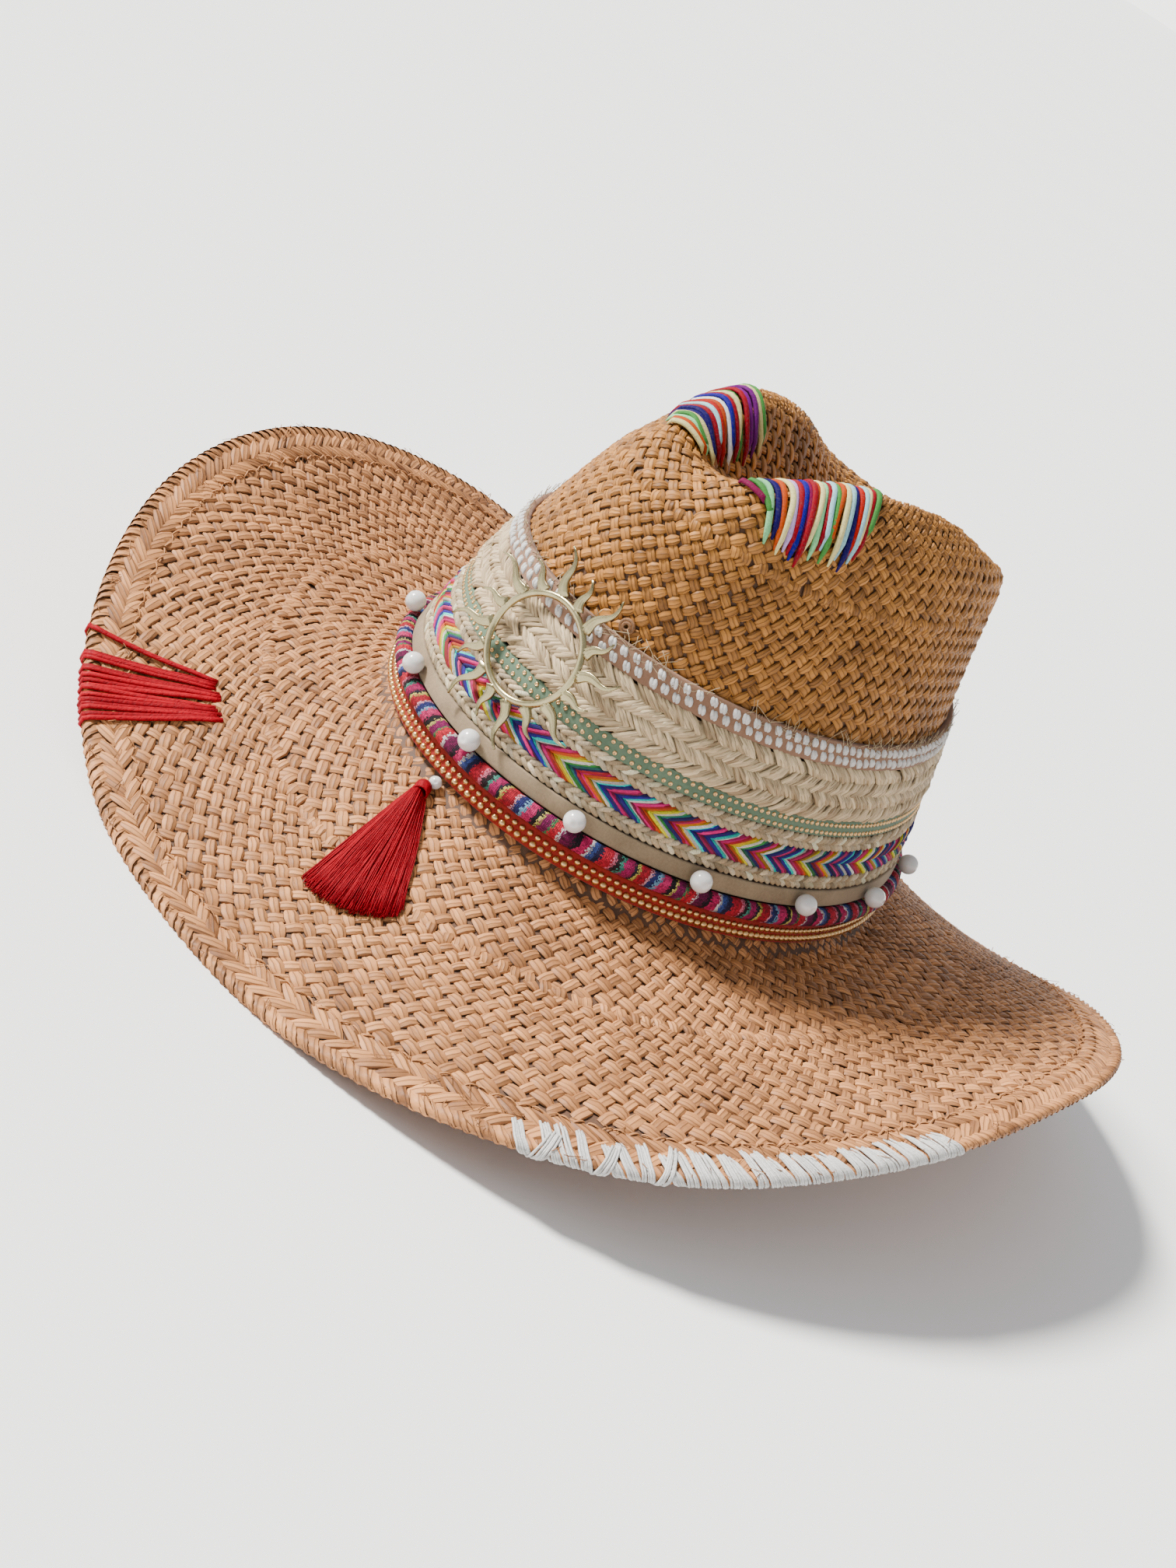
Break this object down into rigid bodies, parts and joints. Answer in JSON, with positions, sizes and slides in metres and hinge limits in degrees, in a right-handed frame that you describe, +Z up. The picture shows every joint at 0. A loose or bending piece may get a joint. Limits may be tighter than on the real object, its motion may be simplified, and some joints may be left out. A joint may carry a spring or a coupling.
{
  "type": "woven straw hat",
  "caption": "Woven straw hat with a creased crown, wide curled brim, wound braids, studded laces, a brass sun and a red tassel.",
  "frame": {"origin": "on the floor, under the middle of the hat's box", "axes": "+Z up through the crown, -Y to the front of the hat, +X to the wearer's left"},
  "size_m": [0.3564, 0.3862, 0.1789],
  "materials": {
    "straw": "woven palm straw, satin",
    "red_suede": "suede with gold studs",
    "striped_cloth": "striped woven cloth",
    "beige_suede": "suede",
    "jute": "braided jute with coloured yarn",
    "green_suede": "suede with gold studs",
    "cream_fibre": "plaited raffia and cotton",
    "white_lace": "suede with white stitches",
    "pearl": "pearly",
    "brass": "pale, polished",
    "red_thread": "silky thread",
    "coloured_thread": "cotton thread in many colours",
    "white_thread": "white cotton yarn",
    "gold_stud": "polished"
  },
  "bodies": {
    "root": {"woven_body": "straw", "red_stud_lace": "red_suede", "woven_cord": "striped_cloth", "beige_lace": "beige_suede", "jute_braid": "jute", "green_stud_lace": "green_suede", "cream_braid": "cream_fibre", "top_lace": "white_lace", "pearl_01": "pearl", "pearl_02": "pearl", "pearl_03": "pearl", "pearl_04": "pearl", "pearl_05": "pearl", "pearl_06": "pearl", "pearl_07": "pearl", "pearl_08": "pearl", "pearl_09": "pearl", "pearl_10": "pearl", "pearl_11": "pearl", "pearl_12": "pearl", "pearl_13": "pearl", "pearl_14": "pearl", "sun_ornament": "brass", "tassel_bead": "pearl", "tassel": "red_thread"}
  },
  "joints": []
}
